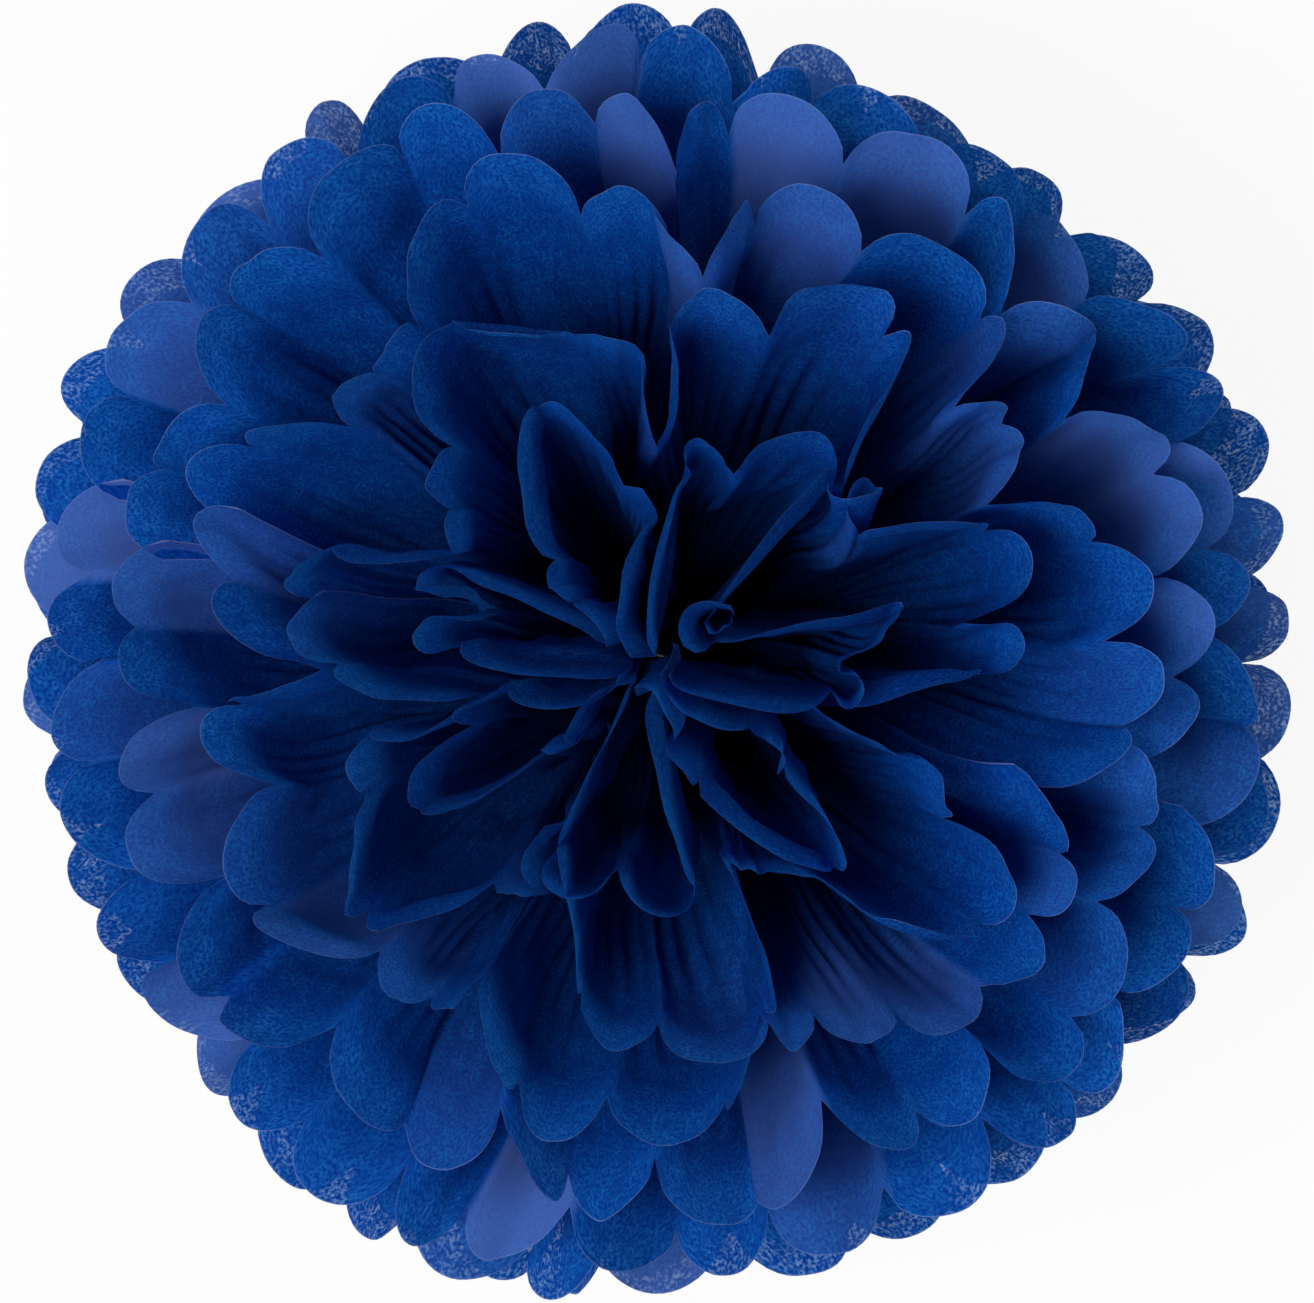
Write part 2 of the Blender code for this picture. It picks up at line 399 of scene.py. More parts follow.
@dataclass(frozen=True)
class Wiring:
    """Adds nodes to one node tree and joins them."""

    tree: bpy.types.NodeTree

    def node(self, kind: str, **settings: object) -> bpy.types.Node:
        """A new node with its settings.

        Args:
            kind: The node's type name.
            settings: Properties of the node, or values of its inputs by name with spaces as underscores.

        Returns:
            The node.
        """
        made = self.tree.nodes.new(kind)
        for name, value in settings.items():
            if hasattr(made, name):
                setattr(made, name, value)
            else:
                made.inputs[name.replace("_", " ")].default_value = value
        return made

    def join(self, output: bpy.types.NodeSocket, socket: bpy.types.NodeSocket) -> None:
        """One link."""
        self.tree.links.new(output, socket)

    def mixed(self, first: Colour | bpy.types.NodeSocket, second: Colour | bpy.types.NodeSocket,
              mask: bpy.types.NodeSocket) -> bpy.types.NodeSocket:
        """A colour that goes from the first to the second with a mask.

        Args:
            first: The colour, or the socket that gives it, where the mask is 0.
            second: The same where the mask is 1.
            mask: The mask.

        Returns:
            The mixed colour.
        """
        made = self.tree.nodes.new("ShaderNodeMix")
        made.data_type = "RGBA"
        for index, colour in ((6, first), (7, second)):
            if isinstance(colour, bpy.types.NodeSocket):
                self.join(colour, made.inputs[index])
            else:
                made.inputs[index].default_value = (*colour, 1.0)
        self.join(mask, made.inputs[0])
        return made.outputs[2]

    def ranged(self, value: bpy.types.NodeSocket, start: float, end: float, low: float = 0.0,
               high: float = 1.0) -> bpy.types.NodeSocket:
        """A value's range from start to end, stretched to go from low to high.

        Args:
            value: The value.
            start: The value that gives low.
            end: The value that gives high.
            low: The result at start and below.
            high: The result at end and above.

        Returns:
            The result.
        """
        made = self.node("ShaderNodeMapRange", clamp=True, From_Min=start, From_Max=end, To_Min=low,
                         To_Max=high)
        self.join(value, made.inputs["Value"])
        return made.outputs["Result"]

    def computed(self, operation: str, first: object, second: object) -> bpy.types.NodeSocket:
        """The result of a sum on two sockets or numbers.

        Args:
            operation: The name of the sum.
            first: A socket or a number.
            second: A socket or a number.

        Returns:
            The result.
        """
        made = self.node("ShaderNodeMath", operation=operation)
        for socket, value in zip(made.inputs, (first, second)):
            if isinstance(value, bpy.types.NodeSocket):
                self.join(value, socket)
            else:
                socket.default_value = value
        return made.outputs["Value"]


def fibre_group() -> bpy.types.ShaderNodeTree:
    """The felted fibres of tissue: masks of thin paper, of fine grain and of loose fibres, and the height.

    Returns:
        The node group.
    """
    tree = bpy.data.node_groups.get("paper_fibres")
    if tree:
        return tree
    tree = bpy.data.node_groups.new("paper_fibres", "ShaderNodeTree")
    sides = tree.interface
    sides.new_socket("Place", in_out="INPUT", socket_type="NodeSocketVector")
    for name, value in (("Cloud Scale", 240.0), ("Grain Scale", 1250.0), ("Fibre Scale", 160.0)):
        sides.new_socket(name, in_out="INPUT", socket_type="NodeSocketFloat").default_value = value
    for name in ("Cloud", "Grain", "Fibre", "Height"):
        sides.new_socket(name, in_out="OUTPUT", socket_type="NodeSocketFloat")
    wiring = Wiring(tree)
    given = wiring.node("NodeGroupInput")
    result = wiring.node("NodeGroupOutput")

    def cloudy(scale: str, detail: float, roughness: float) -> bpy.types.NodeSocket:
        """A noise at one of the group's scales.

        Args:
            scale: The name of the group's input that gives the scale.
            detail: How many finer layers the noise has.
            roughness: How strong the finer layers are.

        Returns:
            The noise.
        """
        made = wiring.node("ShaderNodeTexNoise", Detail=detail, Roughness=roughness)
        wiring.join(given.outputs["Place"], made.inputs["Vector"])
        wiring.join(given.outputs[scale], made.inputs["Scale"])
        return made.outputs[0]

    cloud = wiring.ranged(cloudy("Cloud Scale", 2.0, 0.65), 0.36, 0.66)
    grain = wiring.ranged(cloudy("Grain Scale", 1.0, 0.6), 0.36, 0.66)
    thread = cloudy("Fibre Scale", 1.0, 0.5)
    off_line = wiring.computed("ABSOLUTE", wiring.computed("SUBTRACT", thread, 0.5), 0.0)
    line = wiring.ranged(off_line, 0.0, 0.004, 1.0, 0.0)
    sparse = wiring.ranged(cloudy("Fibre Scale", 0.0, 0.5), 0.62, 0.68)
    fibre = wiring.computed("MULTIPLY", line, sparse)
    coarse = wiring.computed("MULTIPLY", cloud, 0.6)
    fine = wiring.computed("MULTIPLY", grain, 0.4)
    height = wiring.computed("ADD", coarse, fine)
    for socket, name in ((cloud, "Cloud"), (grain, "Grain"), (fibre, "Fibre"), (height, "Height")):
        wiring.join(socket, result.inputs[name])
    return tree


@dataclass(frozen=True)
class TissuePaper:
    """Dyed craft tissue: matte and mottled, with a painted sheen on the ends of some petals, a painted
    highlight along the cut edge and see-through specks near the cut.
    """

    slot: str = "tissue_paper"
    thick: Colour = (0.0004, 0.031, 0.250)
    thin: Colour = (0.002, 0.128, 0.540)
    glow_thick: Colour = (0.003, 0.110, 0.560)
    glow_thin: Colour = (0.040, 0.360, 1.000)
    glow_inside: Colour = (0.0005, 0.022, 0.170)
    # Painted sheen: a paler lavender tone on the outer ends of some petals, standing in for light that
    # catches them and shines through them.
    pale: Colour = (0.110, 0.200, 0.600)
    # Paler blue: a painted highlight along the cut edge, and the real pale colour of loose fibres.
    cut: Colour = (0.200, 0.290, 0.640)
    through: float = 0.45
    clearest_cloud: float = 0.40
    speckle_start: float = 0.25
    cover_thick: float = 1.0
    cover_thin: float = 0.76
    seen_through: tuple[float, float] = (0.008, 0.018)
    cut_width: float = 0.00035
    fibre_height: float = 0.00006
    fibre_strength: float = 0.8
    roughness: float = 0.78
    specular_level: float = 0.08

    def build(self) -> bpy.types.Material:
        """The material that all the sheets share.

        Returns:
            The material.
        """
        material = bpy.data.materials.new("dyed_tissue_paper")
        material.use_nodes = True
        material.use_transparent_shadow = False
        material.node_tree.nodes.clear()
        wiring = Wiring(material.node_tree)
        place = wiring.node("ShaderNodeUVMap", uv_map="paper")
        fibres = wiring.node("ShaderNodeGroup", node_tree=fibre_group())
        wiring.join(place.outputs["UV"], fibres.inputs["Place"])
        edge = wiring.node("ShaderNodeAttribute", attribute_name="to_cut_edge")
        # Painted highlight: a narrow paler band along the cut edge stands in for light catching it. Loose
        # fibres get the same pale colour, and both stay opaque.
        painted_edge_highlight = wiring.ranged(edge.outputs["Fac"], 0.0, self.cut_width, 1.0, 0.0)
        edge_highlight_and_fibre = wiring.computed("MAXIMUM", painted_edge_highlight, fibres.outputs["Fibre"])
        clouded = wiring.ranged(fibres.outputs["Cloud"], 0.0, 1.0, self.clearest_cloud, 1.0)
        mottle = wiring.computed("MULTIPLY", clouded, fibres.outputs["Grain"])
        dyed = wiring.mixed(self.thick, self.thin, mottle)
        # Painted sheen: the pale colour is laid over the dyed paper at the outer ends of some petals.
        petal = wiring.node("ShaderNodeAttribute", attribute_name="painted_sheen_petal")
        petals = wiring.mixed(dyed, self.pale, petal.outputs["Fac"])
        surface = wiring.mixed(petals, self.cut, edge_highlight_and_fibre)
        inner = wiring.ranged(edge.outputs["Fac"], *self.seen_through)
        outer_glow = wiring.mixed(self.glow_thick, self.glow_thin, mottle)
        glow = wiring.mixed(outer_glow, self.glow_inside, inner)
        bump = wiring.node("ShaderNodeBump", Distance=self.fibre_height, Strength=self.fibre_strength)
        wiring.join(fibres.outputs["Height"], bump.inputs["Height"])
        face = wiring.node("ShaderNodeBsdfPrincipled", Roughness=self.roughness)
        face.inputs["Specular IOR Level"].default_value = self.specular_level
        wiring.join(surface, face.inputs["Base Color"])
        cover = wiring.ranged(mottle, self.speckle_start, 1.0, self.cover_thick, self.cover_thin)
        kept = wiring.computed("MAXIMUM", inner, edge_highlight_and_fibre)
        wiring.join(wiring.computed("MAXIMUM", cover, kept), face.inputs["Alpha"])
        back = wiring.node("ShaderNodeBsdfTranslucent")
        wiring.join(glow, back.inputs["Color"])
        for shader in (face, back):
            wiring.join(bump.outputs["Normal"], shader.inputs["Normal"])
        mix = wiring.node("ShaderNodeMixShader")
        mix.inputs[0].default_value = self.through
        wiring.join(face.outputs[0], mix.inputs[1])
        wiring.join(back.outputs[0], mix.inputs[2])
        output = wiring.node("ShaderNodeOutputMaterial")
        wiring.join(mix.outputs[0], output.inputs["Surface"])
        return material


@dataclass(frozen=True)
class FloristWire:
    """Soft annealed wire, with drawn streaks and duller spots."""

    slot: str = "florist_wire"
    bright: Colour = (0.42, 0.44, 0.42)
    dull: Colour = (0.20, 0.22, 0.20)
    metallic: float = 0.8
    spot_scale: float = 900.0
    spot_height: float = 0.00002

    def build(self) -> bpy.types.Material:
        """The material of the tie.

        Returns:
            The material.
        """
        material = bpy.data.materials.new("annealed_florist_wire")
        material.use_nodes = True
        wiring = Wiring(material.node_tree)
        face = material.node_tree.nodes["Principled BSDF"]
        face.inputs["Metallic"].default_value = self.metallic
        place = wiring.node("ShaderNodeTexCoord")
        spots = wiring.node("ShaderNodeTexNoise", Scale=self.spot_scale, Detail=3.0)
        wiring.join(place.outputs["Object"], spots.inputs["Vector"])
        worn = wiring.ranged(spots.outputs[0], 0.35, 0.65)
        wiring.join(wiring.mixed(self.bright, self.dull, worn), face.inputs["Base Color"])
        wiring.join(wiring.ranged(spots.outputs[0], 0.3, 0.7, 0.32, 0.6), face.inputs["Roughness"])
        bump = wiring.node("ShaderNodeBump", Distance=self.spot_height, Strength=0.5)
        wiring.join(spots.outputs[0], bump.inputs["Height"])
        wiring.join(bump.outputs["Normal"], face.inputs["Normal"])
        return material


@dataclass
class TissueSheet:
    """One sheet of tissue, from one scalloped end through the tie to the other."""

    pleating: Pleating
    number: int
    columns: int = 16
    rows: int = 60
    neck_rows: int = 4
    fold_bend: float = 0.45
    softest: float = 0.80
    crispest: float = 0.45
    creased_share: float = 0.50
    crease_range: float = 0.2
    bow: float = 0.0024
    billow_share: float = 0.97
    billow_most: float = 0.0030
    billow_grown: tuple[float, float] = (0.20, 0.55)
    billow_steepest: float = 0.45
    billow_contrast: float = 1.8
    billow_inward: float = 0.6
    curl: float = 0.0042
    curl_at_pole: float = 0.0006
    curl_start: float = 0.66
    flick: float = 0.0010
    dent: float = 0.0007
    dent_wave: tuple[float, float] = (0.011, 0.024)
    small_dent_pitch: float = 2.3
    slow_dent: float = 2.2
    slow_dent_wave: tuple[float, float] = (0.045, 0.050)
    wrinkle_columns: int = 4
    wrinkled_share: float = 1.0
    wrinkle_grown: float = 0.10
    wrinkle_fades: tuple[float, float] = (0.55, 0.94)
    wrinkle_looseness: float = 0.12
    cut_unevenness: float = 0.0007
    scallop_depth_unevenness: float = 0.10
    scallop_shift: float = 0.05
    # How strong, how common and where the painted sheen on the petal ends is.
    palest: float = 0.80
    pale_from: float = 0.25
    pale_range: float = 0.6
    pale_grown: tuple[float, float] = (0.55, 0.92)
    seeds: dict[Side, int] = field(default_factory=lambda: {Side.LEFT: 100, Side.RIGHT: 200})

    @property
    def name(self) -> str:
        """The piece's name."""
        return f"tissue_sheet_{self.number + 1:02d}"

    @property
    def node(self) -> str:
        """The solid that the piece stands for."""
        return f"sheet_{self.number + 1:02d}"

    @property
    def grid_columns(self) -> int:
        """The number of strips across the whole sheet."""
        return self.pleating.pleats * self.columns

    def across(self) -> np.ndarray:
        """Where every column lies, counted in pleats from the sheet's edge."""
        return np.arange(self.grid_columns + 1) / self.columns

    def pleat_and_part(self) -> tuple[np.ndarray, np.ndarray]:
        """The pleat that each column lies in, and how far across it.

        Returns:
            Two numbers for each column.
        """
        across = self.across()
        pleat = np.minimum(across.astype(int), self.pleating.pleats - 1)
        return pleat, across - pleat

    def per_pleat(self, side: Side, what: str) -> np.ndarray:
        """A fixed uneven number for each pleat, spread over the columns.

        Args:
            side: The half of the sheet.
            what: The name of the draw.

        Returns:
            A number for each column, from -1 to 1.
        """
        pleat, _ = self.pleat_and_part()
        numbers = np.array([uneven(what, side.value, self.number, k) for k in range(self.pleating.pleats)])
        return numbers[pleat]

    def softness(self) -> float:
        """How round the folds are: most near the poles, where the paper meanders freely."""
        own = abs((self.pleating.sheets - 1) / 2 - self.number) / ((self.pleating.sheets - 1) / 2)
        return self.crispest + (self.softest - self.crispest) * float(smooth_ramp(own * 1.25 - 0.2))

    def crispness(self, side: Side) -> np.ndarray:
        """How sharp each fold line still is, from 0 for a soft bend to 1 for a crease.

        Args:
            side: The half of the sheet.

        Returns:
            A number for each fold line.
        """
        folds = range(self.pleating.pleats + 1)
        chance = np.array([uneven("crease", side.value, self.number, fold) for fold in folds])
        creased = smooth_ramp((chance - (1 - 2 * self.creased_share)) / self.crease_range)
        crispest = 1 - self.softness()
        return crispest + (1 - crispest) * creased

    def between_folds(self, lines: np.ndarray, side: Side) -> np.ndarray:
        """The paper between the fold lines: a soft wave that has a corner where a fold is still sharp.

        Args:
            lines: The fold lines, as rows, folds and x, y, z.
            side: The half of the sheet.

        Returns:
            Points as rows, columns and x, y, z.
        """
        pleat, part = self.pleat_and_part()
        before = 2 * lines[:, :1] - lines[:, 1:2]
        after = 2 * lines[:, -1:] - lines[:, -2:-1]
        held = np.concatenate((before, lines, after), axis=1)
        first, second, third, fourth = (held[:, pleat + step] for step in range(4))
        crisp = self.crispness(side)
        chord = third - second
        leaving = (third - first) / 2
        leaving = leaving + (chord - leaving) * crisp[pleat][None, :, None]
        arriving = (fourth - second) / 2
        arriving = arriving + (chord - arriving) * crisp[pleat + 1][None, :, None]
        t = part[None, :, None]
        paper = second + chord * (3 * t**2 - 2 * t**3)
        return paper + leaving * (t**3 - 2 * t**2 + t) + arriving * (t**3 - t**2)

    def cut_away(self, side: Side) -> np.ndarray:
        """The share of the half width that the scallops cut away at each column, with an uneven edge.

        Args:
            side: The half of the sheet.

        Returns:
            A share for each column.
        """
        _, part = self.pleat_and_part()
        p = self.pleating
        depth = p.scallop_depth * (1 + self.scallop_depth_unevenness * self.per_pleat(side, "depth"))
        shift = self.scallop_shift * self.per_pleat(side, "shift") * np.sin(math.pi * part)
        shifted = np.clip(part - 0.5 + shift, -0.5, 0.5)
        radius = (p.pleat_width**2 / 4 + depth**2) / (2 * depth)
        below = radius - np.sqrt(np.maximum(radius**2 - (shifted * p.pleat_width) ** 2, 0.0))
        ragged = soft_noise(self.across() * 4.0, self.across() * 0.0 + 0.5, self.seeds[side] + 7)
        return (below + self.cut_unevenness * (1 + ragged) / 2) / p.reach

    def trimmed(self, paper: np.ndarray, side: Side) -> np.ndarray:
        """The paper with its rows drawn in so that the last one follows the cut.

        Args:
            paper: The smooth paper of one half, as rows, columns and x, y, z.
            side: The half of the sheet.

        Returns:
            The trimmed paper.
        """
        share = np.linspace(0.0, 1.0, self.rows + 1)[:, None]
        kept = share * (1 - self.cut_away(side)[None, :] * share**3)
        place = kept * self.rows
        low = np.minimum(place.astype(int), self.rows - 1)
        part = (place - low)[..., None]
        column = np.arange(paper.shape[1])[None, :]
        return paper[low, column] * (1 - part) + paper[low + 1, column] * part

    def normals(self, paper: np.ndarray) -> np.ndarray:
        """The unit normal of the smooth paper at every point.

        Args:
            paper: The smooth paper of one half, as rows, columns and x, y, z.

        Returns:
            The normals, in the same rows and columns.
        """
        along = np.gradient(paper, axis=0)
        across = np.gradient(paper, axis=1)
        normal = np.cross(along, across)
        return normal / np.maximum(np.linalg.norm(normal, axis=2, keepdims=True), 1e-12)

    def pleat_widths(self, paper: np.ndarray) -> np.ndarray:
        """The width of paper that each pleat has so far, for every row."""
        steps = np.linalg.norm(np.diff(paper, axis=1), axis=2)
        return steps.reshape(len(paper), self.pleating.pleats, self.columns).sum(axis=2)

    def billow(self, paper: np.ndarray, side: Side) -> np.ndarray:
        """How far the paper of the wide folds bulges between its lines, to come nearer to its true width.

        Args:
            paper: The smooth paper of one half, as rows, columns and x, y, z.
            side: The half of the sheet.

        Returns:
            How far each point stands off the smooth paper.
        """
        p = self.pleating
        pleat, part = self.pleat_and_part()
        folds = paper[:, :: self.columns]
        chord = np.linalg.norm(np.diff(folds, axis=1), axis=2)
        short = np.maximum(p.pleat_width * self.billow_share / self.pleat_widths(paper) - 1, 0.0)
        height = chord * np.minimum(np.sqrt(short * 3 / 8), self.billow_steepest)
        height = np.minimum(height, self.billow_most)
        turn = np.array([-math.cos(p.wide_turn(k + 0.5, side)) for k in range(p.pleats)])
        pole = 1 if self.number < p.sheets / 2 else -1
        upright = min(1.0, 1.5 * p.wide_depth(self.number) / p.widest_fold)
        outward = pole * np.clip(pole * turn * self.billow_contrast, -self.billow_inward, 1.0) * upright
        start, end = self.billow_grown
        share = np.linspace(0.0, 1.0, self.rows + 1)[:, None]
        grown = smooth_ramp((share - start) / (end - start))
        return -side.value * (height * outward * grown)[:, pleat] * (1 - (2 * part - 1) ** 2)

    def wrinkles(self, paper: np.ndarray, side: Side) -> np.ndarray:
        """Fine wrinkles that take up paper where the wire gathers it.

        Args:
            paper: The smooth paper of one half, as rows, columns and x, y, z.
            side: The half of the sheet.

        Returns:
            How far each point stands off the smooth paper.
        """
        p = self.pleating
        pleat, _ = self.pleat_and_part()
        by_pleat = self.pleat_widths(paper)
        shares = np.linspace(0.0, 1.0, self.rows + 1)[:, None]
        start, end = self.wrinkle_fades
        kept = smooth_ramp(shares / self.wrinkle_grown) * (1 - smooth_ramp((shares - start) / (end - start)))
        wanted = p.pleat_width * self.wrinkled_share
        halves = self.columns * 2 / self.wrinkle_columns
        rise = np.sqrt(np.maximum(wanted**2 - by_pleat**2, 0.0)) / halves
        height = (rise * kept)[:, pleat] / 2
        column = np.arange(self.grid_columns + 1)
        wave = np.sin(2 * math.pi * column / self.wrinkle_columns)[None, :]
        loose = soft_noise(column[None, :] / 2.5, shares * 9.0, self.seeds[side] + self.number)
        loose = 1 + self.wrinkle_looseness * (loose - 1)
        return wave * height * loose

    def relief(self, side: Side) -> np.ndarray:
        """How far the petals bow, curl and dent off the smooth paper, for each row and column of a half.

        Args:
            side: The half of the sheet.

        Returns:
            How far each point stands off.
        """
        p = self.pleating
        _, part = self.pleat_and_part()
        share = np.linspace(0.0, 1.0, self.rows + 1)[:, None]
        crown = (1 - (2 * part - 1) ** 2)[None, :]
        bowed = self.bow * self.per_pleat(side, "bow")[None, :] * crown * share**2
        tip = np.clip((share - self.curl_start) / (1 - self.curl_start), 0.0, 1.0) ** 2
        upright = min(1.0, p.wide_depth(self.number) / p.widest_fold)
        curl = self.curl + (self.curl_at_pole - self.curl) * upright**0.5
        curled = curl * self.per_pleat(side, "curl")[None, :] * crown**0.5 * tip
        corner = np.abs(2 * part - 1)[None, :] ** 6
        flicked = self.flick * self.per_pleat(side, "flick")[None, :] * corner * tip
        x = self.across()[None, :] * p.pleat_width
        y = share * p.reach
        seed = self.seeds[side] + 10 * self.number
        wide, tall = self.dent_wave
        fine = self.small_dent_pitch
        dents = soft_noise(x / wide, y / tall, seed + 1)
        dents = dents + 0.5 * soft_noise(x / wide * fine, y / tall * fine, seed + 2)
        wide, tall = self.slow_dent_wave
        slow = soft_noise(x / wide, y / tall, seed + 3) * self.slow_dent
        return bowed + curled + flicked + self.dent * (dents + slow) * smooth_ramp(share * 2.0)

    def half(self, side: Side) -> np.ndarray:
        """The paper of one half, from the tie to the cut edge.

        Args:
            side: The half of the sheet.

        Returns:
            Points as rows, columns and x, y, z.
        """
        shares = np.linspace(0.0, 1.0, self.rows + 1)
        lines = self.pleating.fold_lines(self.number, side, shares, self.fold_bend)
        paper = self.between_folds(lines, side)
        paper = paper + self.normals(paper) * self.billow(paper, side)[..., None]
        paper = self.trimmed(paper, side)
        off = self.relief(side) + self.wrinkles(paper, side)
        return paper + self.normals(paper) * off[..., None]

    def points(self) -> np.ndarray:
        """Every point of the sheet in the row frame, as rows from end to end, columns and x, y, z.

        Returns:
            The points.
        """
        left = self.half(Side.LEFT)
        right = self.half(Side.RIGHT)
        steps = np.linspace(0.0, 1.0, self.neck_rows + 1)[1:-1, None, None]
        neck = left[0][None] * (1 - steps) + right[0][None] * steps
        paper = np.concatenate((left[::-1], neck, right))
        return self.pleating.pressed(paper) + np.array(self.pleating.middle())

    def along(self) -> np.ndarray:
        """Where every row lies on the flat paper, from -1 at one end to 1 at the other."""
        half = np.linspace(0.0, 1.0, self.rows + 1)
        return np.concatenate((-half[::-1], np.zeros(self.neck_rows - 1), half))

    def build(self, paper: bpy.types.Material) -> bpy.types.Object:
        """The sheet's mesh and object.

        Args:
            paper: The finish of the paper.

        Returns:
            The finished piece, riding on its body.
        """
        along = self.along()
        strips = len(along) - 1
        bm = bmesh.new()
        bmesh.ops.create_grid(bm, x_segments=strips, y_segments=self.grid_columns, size=0.5)
        mesh = bpy.data.meshes.new(self.name)
        bm.to_mesh(mesh)
        bm.free()
        flat = np.zeros(len(mesh.vertices) * 3)
        mesh.vertices.foreach_get("co", flat)
        flat = flat.reshape(-1, 3)
        row = np.rint((flat[:, 0] + 0.5) * strips).astype(int)
        column = np.rint((flat[:, 1] + 0.5) * self.grid_columns).astype(int)
        mesh.vertices.foreach_set("co", self.points()[row, column].ravel())
        self.mark_paper(mesh, row, column)
        mesh.shade_smooth()
        mesh.materials.append(paper)
        mesh.update()
        obj = bpy.data.objects.new(self.name, mesh)
        bpy.context.scene.collection.objects.link(obj)
        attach(obj, "root")
        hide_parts(self.node)
        self.flat_area()
        return obj

    def flat_area(self) -> float:
        """The area of the flat cut sheet, which the scallops at both ends make smaller, in square metres.

        Returns:
            The area.
        """
        whole = self.pleating.length * self.pleating.width
        for side in Side:
            whole -= self.cut_away(side).mean() * self.pleating.reach * self.pleating.length
        return float(whole)

    def paleness(self, row: np.ndarray, column: np.ndarray) -> np.ndarray:
        """How much painted sheen the paper has: a paler tone at the outer ends of some petals that stands in
        for light catching them and shining through them, and none near the poles.

        Args:
            row: The row of each vertex.
            column: The column of each vertex.

        Returns:
            The share of the painted sheen colour at each vertex.
        """
        p = self.pleating
        along = self.along()[row]
        chance = np.where(along < 0, self.per_pleat(Side.LEFT, "pale")[column],
                          self.per_pleat(Side.RIGHT, "pale")[column])
        start, end = self.pale_grown
        grown = smooth_ramp((np.abs(along) - start) / (end - start))
        open_sheet = 1 - p.wide_depth(self.number) / p.widest_fold
        return self.palest * open_sheet * grown * smooth_ramp((chance - self.pale_from) / self.pale_range)

    def mark_paper(self, mesh: bpy.types.Mesh, row: np.ndarray, column: np.ndarray) -> None:
        """Give the mesh its place on the flat paper, its distance from the cut edge and its share of painted
        sheen.

        Args:
            mesh: The sheet's mesh.
            row: The row of each vertex.
            column: The column of each vertex.
        """
        p = self.pleating
        across = self.across()[column] * p.pleat_width
        along = self.along()[row] * p.reach
        to_end = (1 - np.abs(self.along()[row])) * p.reach
        to_side = np.minimum(across, p.length - across)
        edge = mesh.attributes.new("to_cut_edge", "FLOAT", "POINT")
        edge.data.foreach_set("value", np.minimum(to_end, to_side).astype(np.float32))
        # The painted sheen on some petals' outer ends, which the material reads.
        petal = mesh.attributes.new("painted_sheen_petal", "FLOAT", "POINT")
        petal.data.foreach_set("value", self.paleness(row, column).astype(np.float32))
        corner = np.zeros(len(mesh.loops), dtype=np.int32)
        mesh.loops.foreach_get("vertex_index", corner)
        apart = self.number * p.width
        places = np.column_stack((across[corner], along[corner] + apart)).astype(np.float32)
        layer = mesh.uv_layers.new(name="paper")
        layer.data.foreach_set("uv", places.ravel())


@dataclass
class WireTie:
    """The twisted wire round the middle of the stack, kept as its solid."""

    finish: FloristWire

    def dress(self) -> bpy.types.Object:
        """Give the solid its finish.

        Returns:
            The solid's object.
        """
        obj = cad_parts["wire_tie"]
        material = self.finish.build()
        if not obj.material_slots:
            obj.data.materials.append(material)
        for slot in obj.material_slots:
            slot.material = material
        return obj


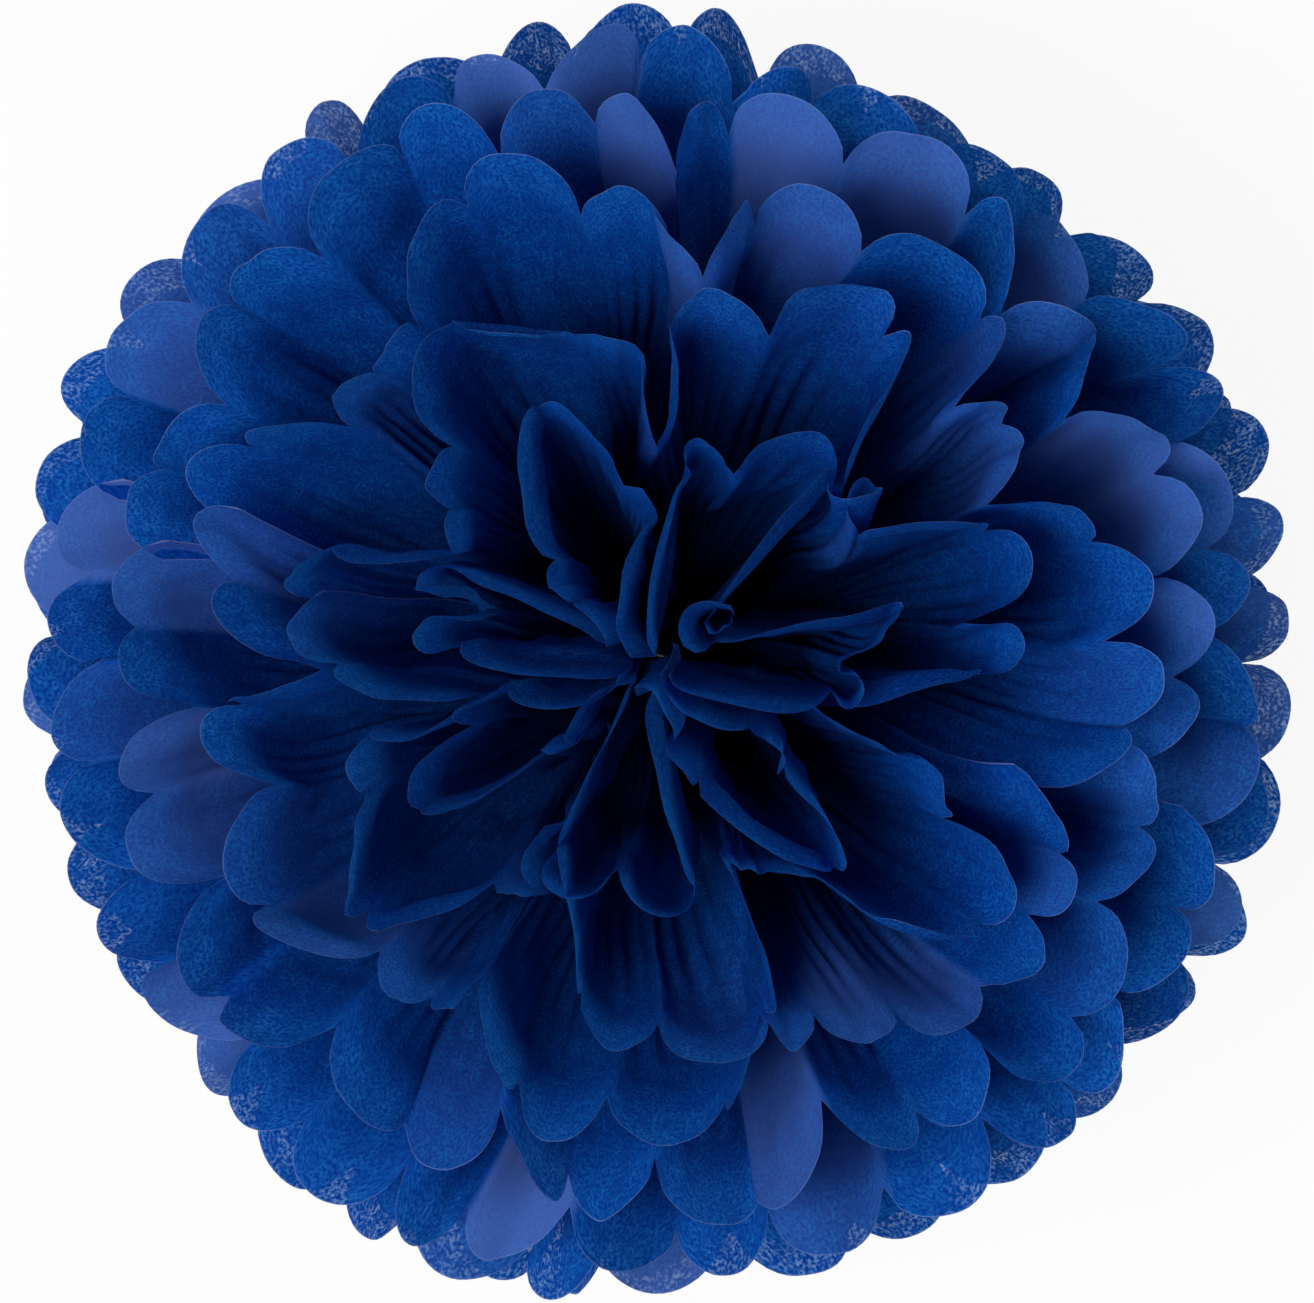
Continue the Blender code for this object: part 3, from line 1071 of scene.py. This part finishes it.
@dataclass
class Studio:
    """A white table, soft light from above and a camera straight over the ball."""

    image: tuple[int, int] = (1314, 1303)
    camera_height: float = 1.05
    camera_turn: float = -76.0
    margin_px: float = 3.0
    floor_size: float = 6.0
    floor_glow: float = 0.92
    floor_colour: Colour = (0.9, 0.9, 0.9)
    world_strength: float = 0.11
    lamps: tuple[tuple[str, tuple[float, float, float], float, float], ...] = (
        ("over_lamp", (-0.30, 0.35, 1.30), 0.6, 16.0),
        ("side_lamp", (0.9, -0.5, 1.0), 0.8, 3.0),
    )

    def floor_material(self) -> bpy.types.Material:
        """White paper that looks white to the camera and keeps the ball's shadow.

        Returns:
            The material.
        """
        material = bpy.data.materials.new("white_floor")
        material.use_nodes = True
        material.node_tree.nodes.clear()
        wiring = Wiring(material.node_tree)
        matte = wiring.node("ShaderNodeBsdfDiffuse")
        matte.inputs["Color"].default_value = (*self.floor_colour, 1.0)
        glow = wiring.node("ShaderNodeEmission", Strength=1.0)
        light = wiring.node("ShaderNodeLightPath")
        seen = light.outputs["Is Camera Ray"]
        for ray in ("Is Glossy Ray", "Is Transmission Ray"):
            seen = wiring.computed("MAXIMUM", seen, light.outputs[ray])
        seen = wiring.computed("MULTIPLY", seen, self.floor_glow)
        mix = wiring.node("ShaderNodeMixShader")
        wiring.join(seen, mix.inputs[0])
        wiring.join(matte.outputs[0], mix.inputs[1])
        wiring.join(glow.outputs[0], mix.inputs[2])
        output = wiring.node("ShaderNodeOutputMaterial")
        wiring.join(mix.outputs[0], output.inputs["Surface"])
        return material

    def add_floor(self) -> None:
        """The table that the ball lies on."""
        bm = bmesh.new()
        bmesh.ops.create_grid(bm, x_segments=1, y_segments=1, size=self.floor_size / 2)
        mesh = bpy.data.meshes.new("white_table")
        bm.to_mesh(mesh)
        bm.free()
        mesh.materials.append(self.floor_material())
        obj = bpy.data.objects.new("white_table", mesh)
        bpy.context.scene.collection.objects.link(obj)

    def light_world(self) -> None:
        """A white room that lights softly and looks white."""
        world = bpy.data.worlds.new("white_room")
        world.use_nodes = True
        bpy.context.scene.world = world
        world.node_tree.nodes.clear()
        wiring = Wiring(world.node_tree)
        light = wiring.node("ShaderNodeLightPath")
        seen = wiring.computed("MAXIMUM", light.outputs["Is Camera Ray"], light.outputs["Is Glossy Ray"])
        strength = wiring.ranged(seen, 0.0, 1.0, self.world_strength, 1.0)
        room = wiring.node("ShaderNodeBackground")
        wiring.join(strength, room.inputs["Strength"])
        output = wiring.node("ShaderNodeOutputWorld")
        wiring.join(room.outputs[0], output.inputs["Surface"])

    def add_lamps(self) -> None:
        """Soft square lamps, each aimed at the middle of the ball."""
        low, high = CAD_BOX
        aim = (low + high) / 2
        for name, place, size, power in self.lamps:
            lamp = bpy.data.lights.new(name, "AREA")
            lamp.shape = "SQUARE"
            lamp.size = size
            lamp.energy = power
            obj = bpy.data.objects.new(name, lamp)
            obj.location = place
            obj.rotation_euler = (aim - Vector(place)).to_track_quat("-Z", "Y").to_euler()
            bpy.context.scene.collection.objects.link(obj)

    def add_camera(self, sheets: list[bpy.types.Object]) -> None:
        """A camera over the ball, looking down its axis, with the ball's rim at the picture's edges.

        Args:
            sheets: The pieces that have to be in the picture.
        """
        turn = math.radians(self.camera_turn)
        points = np.concatenate([self.places(obj) for obj in sheets])
        low, high = CAD_BOX
        centre = np.array(((low.x + high.x) / 2, (low.y + high.y) / 2))
        wide, tall = self.image
        for _ in range(4):
            depth = self.camera_height - points[:, 2]
            flat = (points[:, :2] - centre) / depth[:, None]
            x = flat[:, 0] * math.cos(turn) + flat[:, 1] * math.sin(turn)
            y = flat[:, 1] * math.cos(turn) - flat[:, 0] * math.sin(turn)
            shift_x = (x.max() + x.min()) / 2
            shift_y = (y.max() + y.min()) / 2
            reach = self.camera_height - (low.z + high.z) / 2
            centre = centre + reach * np.array((
                shift_x * math.cos(turn) - shift_y * math.sin(turn),
                shift_x * math.sin(turn) + shift_y * math.cos(turn),
            ))
        half_x = (x.max() - x.min()) / 2 * wide / (wide - 2 * self.margin_px)
        half_y = (y.max() - y.min()) / 2 * wide / (tall - 2 * self.margin_px)
        camera = bpy.data.cameras.new("over_camera")
        camera.sensor_fit = "HORIZONTAL"
        camera.lens = camera.sensor_width / 2 / max(half_x, half_y)
        obj = bpy.data.objects.new("over_camera", camera)
        obj.location = (centre[0], centre[1], self.camera_height)
        obj.rotation_euler = (0.0, 0.0, turn)
        bpy.context.scene.collection.objects.link(obj)
        bpy.context.scene.camera = obj

    @staticmethod
    def places(obj: bpy.types.Object) -> np.ndarray:
        """Every vertex of a piece, in the row frame.

        Args:
            obj: The piece.

        Returns:
            The points.
        """
        flat = np.zeros(len(obj.data.vertices) * 3)
        obj.data.vertices.foreach_get("co", flat)
        return flat.reshape(-1, 3)

    def build(self, sheets: list[bpy.types.Object]) -> None:
        """The floor, the light and the camera.

        Args:
            sheets: The pieces that have to be in the picture.
        """
        bpy.context.scene.view_settings.view_transform = "Standard"
        self.add_floor()
        self.light_world()
        self.add_lamps()
        self.add_camera(sheets)


def main() -> None:
    """Build the pieces in order and report each one."""
    logging.basicConfig(level=logging.INFO, format="%(message)s")
    pleating = Pleating()
    noise.seed_set(pleating.sway_seed)
    paper = TissuePaper().build()
    sheets = []
    for number in range(pleating.sheets):
        sheet = TissueSheet(pleating, number)
        sheets.append(sheet.build(paper))
        mesh = sheets[-1].data
        share = sum(face.area for face in mesh.polygons) / sheet.flat_area()
        LOG.info("%s: %d faces, %.2f of its flat area", sheet.name, len(mesh.polygons), share)
    tie = WireTie(FloristWire()).dress()
    LOG.info("%s: dressed", tie.name)
    Studio().build(sheets)


if __name__ == "__main__":
    main()
